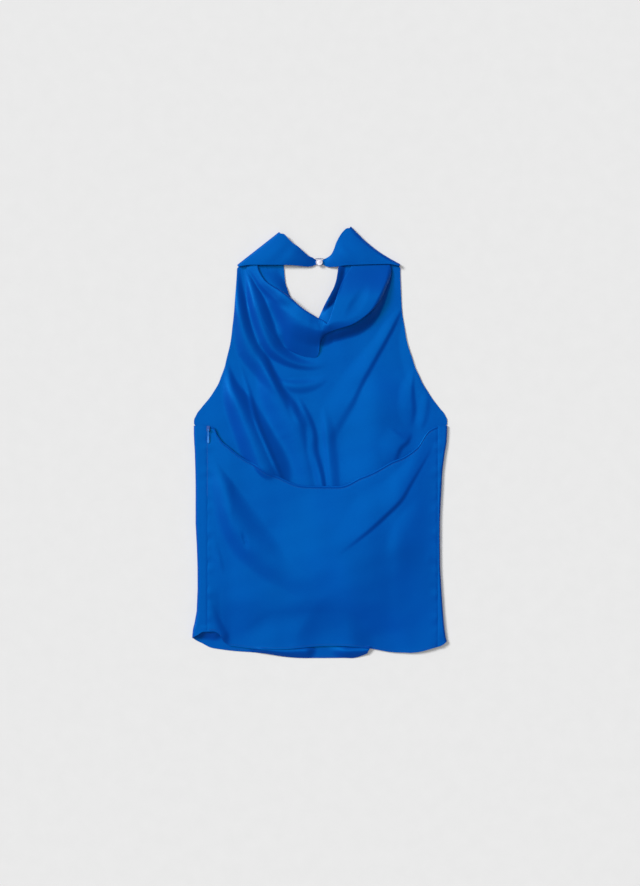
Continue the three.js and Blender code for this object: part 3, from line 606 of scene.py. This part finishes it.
def front_grids():
    """The front below the underarms, its body up to the neck and its two straps, joined at their edges."""
    hem = np.linspace(HEM_STRIP_Y, HEM_TOP_Y, HEM_ROWS)
    seen = np.linspace(SEEN_BOTTOM_Y, STRIP_TOP_Y, SEEN_ROWS)
    lower = wrapped_rows(np.concatenate([hem, COVERED_LEVELS, seen]))
    flat_start = 2 * WRAP_COLUMNS - 1
    last_row = lower[-1, flat_start:flat_start + 2 * BODY_COLUMNS - 1]
    body_y = np.concatenate([UNDERARM_LEVELS, np.linspace(BODY_BOTTOM_Y, NECK_BOTTOM_Y, BODY_ROWS)])
    left_x = left_side(body_y) + FLOOR_LAYER
    right_x = right_side(body_y) - FLOOR_LAYER
    centre = np.full(body_y.shape, NECK_BOTTOM_X)
    body = np.concatenate([
        flat_rows(body_y, left_x, centre, BODY_COLUMNS),
        flat_rows(body_y, centre, right_x, BODY_COLUMNS)[:, 1:],
    ], axis=1)
    body = np.concatenate([last_row[None], body])
    neck_y = np.linspace(NECK_BOTTOM_Y, NECK_TOP_Y, NECK_ROWS)
    left = neck_rows(LEFT_STRAP, -1, neck_y, left_side(neck_y) + FLOOR_LAYER, left_neckline(neck_y))
    right = neck_rows(RIGHT_STRAP, 1, neck_y, right_side(neck_y) - FLOOR_LAYER, right_neckline(neck_y))
    return [lower, body, left, right]


def back_height(x, y):
    """Height of the back's middle surface, draped over the folds of the front."""
    free = BACK_LAYER + BACK_PUFF * smooth((y - back_hem(x)) / PUFF_ABOVE_HEM)
    free = free + folds_height(BACK_FOLDS, x, y) + ripple(x + BACK_RIPPLE_X, y + BACK_RIPPLE_Y)
    near_left = smooth(1 - (x - LEFT_SEAM_X) / LEFT_SEAM_BLEND)
    near_right = smooth(1 - (RIGHT_SEAM_X - x) / RIGHT_SEAM_BLEND)
    to_left = mix(free, FLOOR_LAYER + 2 * left_turn(y), near_left)
    z = mix(to_left, FLOOR_LAYER + 2 * right_turn(y), near_right)
    z = z - seam_dip(x - LEFT_SEAM_X, y) - seam_dip(RIGHT_SEAM_X - x, y)
    below = front_height(x, y) + CLEARANCE
    above = z - below
    return below + 0.5 * (above + np.sqrt(above**2 + CONTACT_SOFTNESS)) + top_roll(back_top(x) - y)


def back_grid():
    """The back panel between its seams, with closer rows along its hem and its top edge."""
    share_x = np.linspace(0, 1, BACK_COLUMNS)
    share_y = np.linspace(0, 1, BACK_ROWS)[:, None]
    x = mix(LEFT_SEAM_X + BACK_SEAM_GAP, RIGHT_SEAM_X - BACK_SEAM_GAP, share_x)
    inner = mix(back_hem(x) + HEM_EDGE[-1], back_top(x) - TOP_EDGE[-1], share_y)
    near_hem = back_hem(x) + np.array(HEM_EDGE[:-1])[:, None]
    near_top = back_top(x) - np.array(TOP_EDGE[-2::-1])[:, None]
    y = np.concatenate([near_hem, inner, near_top])
    x = np.broadcast_to(x, y.shape)
    return grid_of(x, y, back_height(x, y))


def top_roll(distance):
    """The rolled edge along the back's top, a bead with a shallow stitched furrow below it."""
    return sum(height * bell(distance - middle, width) for height, middle, width in TOP_ROLL)


def cowl_grid():
    """Sections of the cowl, each with its two edges turned under."""
    rows = route(COWL_SECTIONS, COWL_STEPS)
    inner = rows[:, 0:2]
    outer = rows[:, 2:4]
    span = np.linalg.norm(outer - inner, axis=1)[:, None]
    way = (outer - inner) / span
    height_in, height_top, height_out = np.split(rows[:, 4:7], 3, axis=1)
    crest_at, foot_at, radius_in, radius_out = np.split(rows[:, 7:], 4, axis=1)
    share = np.linspace(0, 1, COWL_COLUMNS)
    reach = mix(radius_in, span - radius_out, share)
    near = share < crest_at
    up = 1 - (1 - np.minimum(share / crest_at, 1)) ** COWL_RISE_POWER
    rising = mix(height_in + radius_in, height_top, up)
    down = np.clip((share - crest_at) / (foot_at - crest_at), 0, 1)
    soft_foot = np.clip((1 - foot_at) * COWL_SOFT_FOOT, 0, 1)
    down = mix(down**COWL_FALL_POWER, smooth(down), soft_foot)
    falling = mix(height_top, height_out + radius_out, down)
    surface = np.where(near, rising, falling)
    angles = np.linspace(0, math.pi, COWL_TURN_STEPS + 1)[:-1]
    edge_in = radius_in * (1 - np.sin(angles))
    rise_in = height_in - radius_in * np.cos(angles)
    edge_out = span - radius_out * (1 - np.sin(angles[::-1]))
    rise_out = height_out - radius_out * np.cos(angles[::-1])
    under = np.array(COWL_UNDER)
    back_in = radius_in + under
    back_out = span - radius_out - under[::-1] * np.clip(radius_out - COWL_THIN_EDGE, 0, 1)
    reach = np.hstack([back_in, edge_in, reach, edge_out, back_out])
    height = np.hstack([
        np.broadcast_to(height_in - radius_in, back_in.shape), rise_in, surface, rise_out,
        np.broadcast_to(height_out - radius_out, back_out.shape),
    ])
    x = inner[:, :1] + way[:, :1] * reach
    y = inner[:, 1:] + way[:, 1:] * reach
    return grid_of(x, y, front_height(x, y) + LAYER_STEP + height)


def nodes_of(material):
    """A material's emptied nodes and its links."""
    material.use_nodes = True
    material.node_tree.nodes.clear()
    return material.node_tree.nodes, material.node_tree.links


def two_tones(nodes, first, second, margin):
    """A colour ramp from one tone to another, each keeping a margin at its end."""
    tone = nodes.new("ShaderNodeValToRGB")
    tone.color_ramp.elements[0].position = margin
    tone.color_ramp.elements[0].color = (*first, 1)
    tone.color_ramp.elements[1].position = 1 - margin
    tone.color_ramp.elements[1].color = (*second, 1)
    return tone


def join_shader(nodes, links, shader, tone, bump):
    """Join a shader to its colour, to its relief and to the material's output."""
    links.new(tone.outputs["Color"], shader.inputs["Base Color"])
    links.new(bump.outputs["Normal"], shader.inputs["Normal"])
    output = nodes.new("ShaderNodeOutputMaterial")
    links.new(shader.outputs["BSDF"], output.inputs["Surface"])


def weave_group():
    """Fine satin weave with slow waviness, as a height."""
    group = bpy.data.node_groups.new("satin weave", "ShaderNodeTree")
    group.interface.new_socket("Vector", in_out="INPUT", socket_type="NodeSocketVector")
    group.interface.new_socket("Threads", in_out="INPUT", socket_type="NodeSocketFloat")
    group.interface.new_socket("Height", in_out="OUTPUT", socket_type="NodeSocketFloat")
    nodes, links = group.nodes, group.links
    source = nodes.new("NodeGroupInput")
    result = nodes.new("NodeGroupOutput")
    threads = nodes.new("ShaderNodeTexWave")
    threads.wave_type = "BANDS"
    threads.bands_direction = "DIAGONAL"
    threads.inputs["Distortion"].default_value = WEAVE_DISTORTION
    links.new(source.outputs["Vector"], threads.inputs["Vector"])
    links.new(source.outputs["Threads"], threads.inputs["Scale"])
    waviness = nodes.new("ShaderNodeTexNoise")
    waviness.inputs["Scale"].default_value = WAVINESS_SCALE
    waviness.inputs["Detail"].default_value = 3
    links.new(source.outputs["Vector"], waviness.inputs["Vector"])
    both = nodes.new("ShaderNodeMath")
    both.operation = "MULTIPLY_ADD"
    both.inputs[1].default_value = WEAVE_SHARE
    links.new(threads.outputs["Fac"], both.inputs[0])
    links.new(waviness.outputs["Fac"], both.inputs[2])
    links.new(both.outputs[0], result.inputs["Height"])
    return group


WEAVE = weave_group()


def satin(name, shade, roughness):
    """Blue satin: its colour drifts a little over the cloth, and the weave is a fine bump."""
    material = bpy.data.materials.new(name)
    nodes, links = nodes_of(material)
    place = nodes.new("ShaderNodeUVMap")
    place.uv_map = "cloth"
    weave = nodes.new("ShaderNodeGroup")
    weave.node_tree = WEAVE
    weave.inputs["Threads"].default_value = WEAVE_THREADS
    links.new(place.outputs["UV"], weave.inputs["Vector"])
    bump = nodes.new("ShaderNodeBump")
    bump.inputs["Strength"].default_value = WEAVE_STRENGTH
    bump.inputs["Distance"].default_value = WEAVE_DEPTH
    links.new(weave.outputs["Height"], bump.inputs["Height"])
    spot = nodes.new("ShaderNodeTexCoord")
    drift = nodes.new("ShaderNodeTexNoise")
    drift.inputs["Scale"].default_value = DRIFT_SCALE
    drift.inputs["Detail"].default_value = 2
    links.new(spot.outputs["Object"], drift.inputs["Vector"])
    dark = [value * DARK_SHARE for value in shade]
    light = [value * LIGHT_SHARE for value in shade]
    tone = two_tones(nodes, dark, light, DRIFT_MARGIN)
    links.new(drift.outputs["Fac"], tone.inputs["Fac"])
    shader = nodes.new("ShaderNodeBsdfPrincipled")
    shader.inputs["Roughness"].default_value = roughness
    shader.inputs["Specular IOR Level"].default_value = 1
    shader.inputs["Specular Tint"].default_value = SATIN_SHEEN
    join_shader(nodes, links, shader, tone, bump)
    return material


def grain_group():
    """Fine grain and a few long scratches, as one tone from 0 to 1."""
    group = bpy.data.node_groups.new("fine grain", "ShaderNodeTree")
    group.interface.new_socket("Scale", in_out="INPUT", socket_type="NodeSocketFloat")
    group.interface.new_socket("Tone", in_out="OUTPUT", socket_type="NodeSocketFloat")
    nodes, links = group.nodes, group.links
    source = nodes.new("NodeGroupInput")
    result = nodes.new("NodeGroupOutput")
    spot = nodes.new("ShaderNodeTexCoord")
    grain = nodes.new("ShaderNodeTexNoise")
    grain.inputs["Detail"].default_value = 5
    links.new(spot.outputs["Object"], grain.inputs["Vector"])
    links.new(source.outputs["Scale"], grain.inputs["Scale"])
    stretch = nodes.new("ShaderNodeMapping")
    stretch.inputs["Scale"].default_value = SCRATCH_STRETCH
    stretch.inputs["Rotation"].default_value = (0, 0, SCRATCH_ANGLE)
    links.new(spot.outputs["Object"], stretch.inputs["Vector"])
    scratch = nodes.new("ShaderNodeTexNoise")
    scratch.inputs["Scale"].default_value = SCRATCH_SCALE
    links.new(stretch.outputs["Vector"], scratch.inputs["Vector"])
    both = nodes.new("ShaderNodeMix")
    both.inputs["Factor"].default_value = SCRATCH_SHARE
    links.new(grain.outputs["Fac"], both.inputs["A"])
    links.new(scratch.outputs["Fac"], both.inputs["B"])
    links.new(both.outputs["Result"], result.inputs["Tone"])
    return group


GRAIN = grain_group()


def finish(name, shades, roughness, scale, relief, metallic=0.0, coat=0.0):
    """A small part's finish: its two or three shades, roughness and relief all follow the same grain."""
    material = bpy.data.materials.new(name)
    nodes, links = nodes_of(material)
    grain = nodes.new("ShaderNodeGroup")
    grain.node_tree = GRAIN
    grain.inputs["Scale"].default_value = scale
    tone = two_tones(nodes, shades[0], shades[-1], GRAIN_MARGIN)
    if len(shades) == 3:
        tone.color_ramp.elements.new(0.5).color = (*shades[1], 1)
    links.new(grain.outputs["Tone"], tone.inputs["Fac"])
    wear = nodes.new("ShaderNodeMapRange")
    wear.inputs["To Min"].default_value = roughness * (1 - ROUGHNESS_SPREAD)
    wear.inputs["To Max"].default_value = roughness * (1 + ROUGHNESS_SPREAD)
    links.new(grain.outputs["Tone"], wear.inputs["Value"])
    bump = nodes.new("ShaderNodeBump")
    bump.inputs["Distance"].default_value = relief
    links.new(grain.outputs["Tone"], bump.inputs["Height"])
    shader = nodes.new("ShaderNodeBsdfPrincipled")
    shader.inputs["Metallic"].default_value = metallic
    shader.inputs["Coat Weight"].default_value = coat
    links.new(wear.outputs["Result"], shader.inputs["Roughness"])
    join_shader(nodes, links, shader, tone, bump)
    return material


SATIN = satin("blue satin", SATIN_BLUE, SATIN_ROUGHNESS)
PEARL = finish("mother of pearl", [(0.42, 0.46, 0.6), (0.66, 0.64, 0.7), (0.54, 0.48, 0.6)],
               roughness=0.24, scale=240, relief=0.00003, coat=1)
ENAMEL = finish("blue enamelled zip metal", [(0.01, 0.16, 0.58), (0.03, 0.3, 0.86)],
                roughness=0.42, scale=900, relief=0.00002, metallic=0.1, coat=0.1)
# The slider's enamel is the pull's blue in darker shades
SLIDER = finish("darker slider enamel", [(0.001, 0.045, 0.26), (0.004, 0.08, 0.38)],
                roughness=0.5, scale=900, relief=0.00002, metallic=0.1)
COIL = finish("blue nylon coil", [(0.004, 0.05, 0.3), (0.01, 0.09, 0.42)],
              roughness=0.45, scale=1500, relief=0.00002)
THREAD = finish("twisted thread", [(0.001, 0.02, 0.12), (0.004, 0.05, 0.24)],
                roughness=0.7, scale=2600, relief=0.0001)
FLOOR = finish("pale surface", [(0.75, 0.75, 0.75), (0.77, 0.77, 0.77)],
               roughness=0.9, scale=40, relief=0.00001)


def add_cloth(name, grids, replaced):
    """A satin piece in place of some solids, attached to the top."""
    piece = make_cloth(name, grids)
    piece.data.materials.append(SATIN)
    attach(piece, "top")
    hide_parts(*replaced)


add_cloth("front_cloth", front_grids(), ["front_panel", "neck_strap_left", "neck_strap_right"])
add_cloth("back_cloth", [back_grid()], ["back_panel"])
add_cloth("cowl_cloth", [cowl_grid()], ["cowl_facing"])


def beads(name, places, size, material):
    """Many small rounded bits in one piece, each at a place and turned to its own angle.

    They are made in short runs that are then joined, because a growing mesh takes ever longer.
    """
    whole = bmesh.new()
    for start in range(0, len(places), BEADS_AT_ONCE):
        bm = bmesh.new()
        for x, y, z, angle in places[start:start + BEADS_AT_ONCE]:
            shape = Matrix.Translation(Vector((x, y, z)) * MM) @ Matrix.Rotation(angle, 4, "Z")
            shape = shape @ Matrix.Diagonal((*(Vector(size) * MM / 2), 1))
            bmesh.ops.create_uvsphere(bm, u_segments=BEAD_SEGMENTS, v_segments=BEAD_RINGS, radius=1,
                                      matrix=shape)
        run = bpy.data.meshes.new("run")
        bm.to_mesh(run)
        bm.free()
        whole.from_mesh(run)
        bpy.data.meshes.remove(run)
    for face in whole.faces:
        face.smooth = True
    piece = finish_mesh(name, whole)
    piece.data.materials.append(material)
    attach(piece, "top")


def stitch_places(line, height, low_x, high_x):
    """Stitches one after another along a line y = line(x), each lying on the cloth."""
    x = np.linspace(low_x, high_x, round((high_x - low_x) / STITCH_PITCH))
    y = line(x)
    z = height(x, y) + CLOTH / 2
    angles = np.arctan(line(x + 0.5) - line(x - 0.5))
    return list(zip(x, y, z, angles))


def seam_height(y):
    """Height of the cloth's upper side along the left seam."""
    return FLOOR_LAYER + 2 * float(left_turn(y)) - seam_dip(0, y) + CLOTH / 2


def coil_places():
    """The zip coil's turns, leaning to one side and the other by turns along the left seam."""
    places = []
    for i in range(round((ZIP_TOP_Y - ZIP_BOTTOM_Y) / COIL_PITCH)):
        y = ZIP_BOTTOM_Y + i * COIL_PITCH
        side = 1 if i % 2 else -1
        places.append((LEFT_SEAM_X + side * COIL_OFFSET, y, seam_height(y) - COIL_SINK, side * COIL_ANGLE))
    return places


def sewing_places():
    """The stitches of the back's hem, of its top edge and of the front's hem where it shows."""
    back_hem_line = stitch_places(lambda x: back_hem(x) + HEM_STITCH_INSET, back_height,
                                  LEFT_SEAM_X + BACK_HEM_MARGIN, RIGHT_SEAM_X - BACK_HEM_MARGIN)
    back_top_line = stitch_places(lambda x: back_top(x) - TOP_STITCH_INSET, back_height,
                                  LEFT_SEAM_X + LEFT_TOP_MARGIN, RIGHT_SEAM_X - RIGHT_TOP_MARGIN)
    front_hem_line = stitch_places(lambda x: front_hem(x) + HEM_STITCH_INSET, front_height,
                                   FRONT_STITCHES_FROM, FRONT_STITCHES_TO)
    return back_hem_line + back_top_line + front_hem_line


beads("sewing_thread", sewing_places(), STITCH_SIZE, THREAD)
beads("zip_coil", coil_places(), COIL_SIZE, COIL)

for node, material in (
    ("neck_button", PEARL), ("button_loop", THREAD), ("zip_slider", SLIDER), ("zip_pull", ENAMEL),
):
    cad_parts[node].data.materials.clear()
    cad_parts[node].data.materials.append(material)


def make_floor():
    bm = bmesh.new()
    bmesh.ops.create_grid(bm, x_segments=FLOOR_CELLS, y_segments=FLOOR_CELLS, size=FLOOR_SIZE)
    bmesh.ops.translate(bm, verts=bm.verts, vec=(0, 0, -FLOOR_GAP))
    floor = finish_mesh("floor", bm)
    floor.data.materials.append(FLOOR)


def make_light():
    world = bpy.data.worlds.new("studio")
    bpy.context.scene.world = world
    world.use_nodes = True
    background = world.node_tree.nodes["Background"]
    background.inputs["Color"].default_value = (1, 1, 1, 1)
    background.inputs["Strength"].default_value = SKY_STRENGTH
    for name, energy, width, elevation in LIGHTS:
        add_sun(name, energy, width, elevation)


def add_sun(name, energy, width, elevation):
    """A soft distant light that shines over the garment from the upper left, from an elevation."""
    sun = bpy.data.objects.new(name, bpy.data.lights.new(name, "SUN"))
    sun.data.energy = energy
    sun.data.angle = math.radians(width)
    direction = Vector((*LIGHT_DIRECTION, -math.tan(math.radians(elevation))))
    sun.rotation_euler = direction.to_track_quat("-Z", "Y").to_euler()
    sun.location = -LIGHT_DISTANCE * direction.normalized()
    bpy.context.collection.objects.link(sun)


def make_camera():
    camera = bpy.data.objects.new("camera", bpy.data.cameras.new("camera"))
    camera.location = (CAMERA_X, CAMERA_Y, CAMERA_HEIGHT)
    camera.data.sensor_width = SENSOR_WIDTH
    camera.data.lens = SENSOR_WIDTH * CAMERA_HEIGHT / PICTURE_HEIGHT
    bpy.context.collection.objects.link(camera)
    bpy.context.scene.camera = camera


make_floor()
make_light()
make_camera()
bpy.context.scene.view_settings.view_transform = "Standard"
